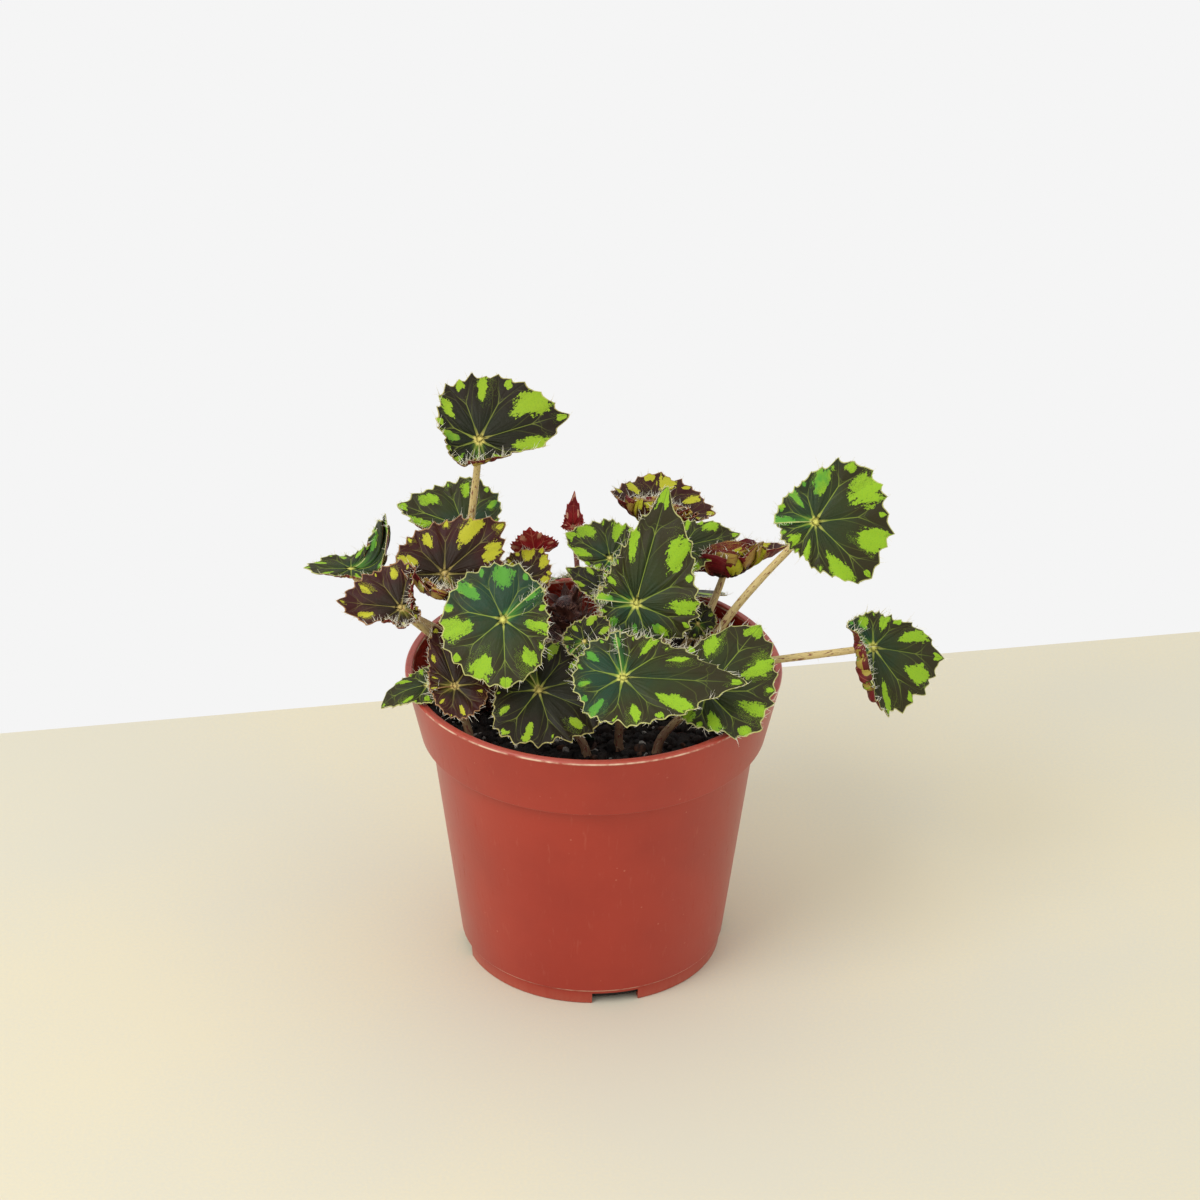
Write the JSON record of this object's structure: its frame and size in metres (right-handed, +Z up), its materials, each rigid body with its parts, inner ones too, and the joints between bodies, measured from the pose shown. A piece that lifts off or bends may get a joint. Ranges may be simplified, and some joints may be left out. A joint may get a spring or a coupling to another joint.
{
  "type": "potted begonia",
  "caption": "Potted eyelash begonia: lopsided toothed leaves on thin stalks from short rhizomes, in a round tapered plastic nursery pot of soil.",
  "frame": {"origin": "centre of the pot's flat underside", "axes": "+Z up along the pot's axis; the front of the plant, where most leaves face, looks along -Y; +X is to the right seen from the front"},
  "size_m": [0.2036, 0.1205, 0.192],
  "materials": {
    "pot_plastic": "satin terracotta-red moulded plastic",
    "soil": "near-black peat soil with grey grit, rough and matt",
    "rhizome": "dark maroon-brown hairy bark",
    "stalk": "cream-tan skin with red-brown lengthwise dashes, satin",
    "stalk_young": "red-brown young skin, satin",
    "blade_green": "dark olive leaf skin with lime patches near the margin, satin",
    "blade_dark": "dark olive-brown leaf skin with lime patches, satin",
    "blade_maroon": "maroon-brown leaf skin with yellow patches, satin",
    "blade_young": "red young leaf skin with pale streaks, satin"
  },
  "bodies": {
    "root": {"pot": "pot_plastic", "soil": "soil", "rhizome_middle": "rhizome", "rhizome_left": "rhizome", "rhizome_right": "rhizome", "blade_tall": "blade_dark", "stalk_tall": "stalk", "blade_back_left": "blade_green", "stalk_back_left": "stalk", "blade_left_upper": "blade_maroon", "stalk_left_upper": "stalk", "blade_far_left": "blade_green", "stalk_far_left": "stalk", "blade_left_hood": "blade_maroon", "stalk_left_hood": "stalk", "blade_front_left": "blade_green", "stalk_front_left": "stalk", "blade_left_rim": "blade_maroon", "stalk_left_rim": "stalk", "blade_left_hanging": "blade_green", "stalk_left_hanging": "stalk", "blade_front_low": "blade_dark", "stalk_front_low": "stalk", "blade_front_centre": "blade_green", "stalk_front_centre": "stalk", "blade_centre_upright": "blade_green", "stalk_centre_upright": "stalk", "blade_front_right": "blade_green", "stalk_front_right": "stalk", "blade_back_centre": "blade_maroon", "stalk_back_centre": "stalk", "blade_back_right": "blade_green", "stalk_back_right": "stalk", "blade_right_folded": "blade_maroon", "stalk_right_folded": "stalk", "blade_far_right_upper": "blade_green", "stalk_far_right_upper": "stalk", "blade_far_right_lower": "blade_green", "stalk_far_right_lower": "stalk", "blade_centre_back": "blade_green", "stalk_centre_back": "stalk", "blade_centre_small": "blade_dark", "stalk_centre_small": "stalk", "blade_young_tip": "blade_young", "stalk_young_tip": "stalk_young", "blade_young_fork": "blade_young", "stalk_young_fork": "stalk_young", "blade_centre_left": "blade_maroon", "stalk_centre_left": "stalk", "blade_front_tucked": "blade_dark", "stalk_front_tucked": "stalk", "blade_right_tucked": "blade_dark", "stalk_right_tucked": "stalk", "blade_rear_left": "blade_dark", "stalk_rear_left": "stalk", "blade_rear_middle": "blade_green", "stalk_rear_middle": "stalk", "blade_rear_right": "blade_dark", "stalk_rear_right": "stalk"}
  },
  "joints": []
}
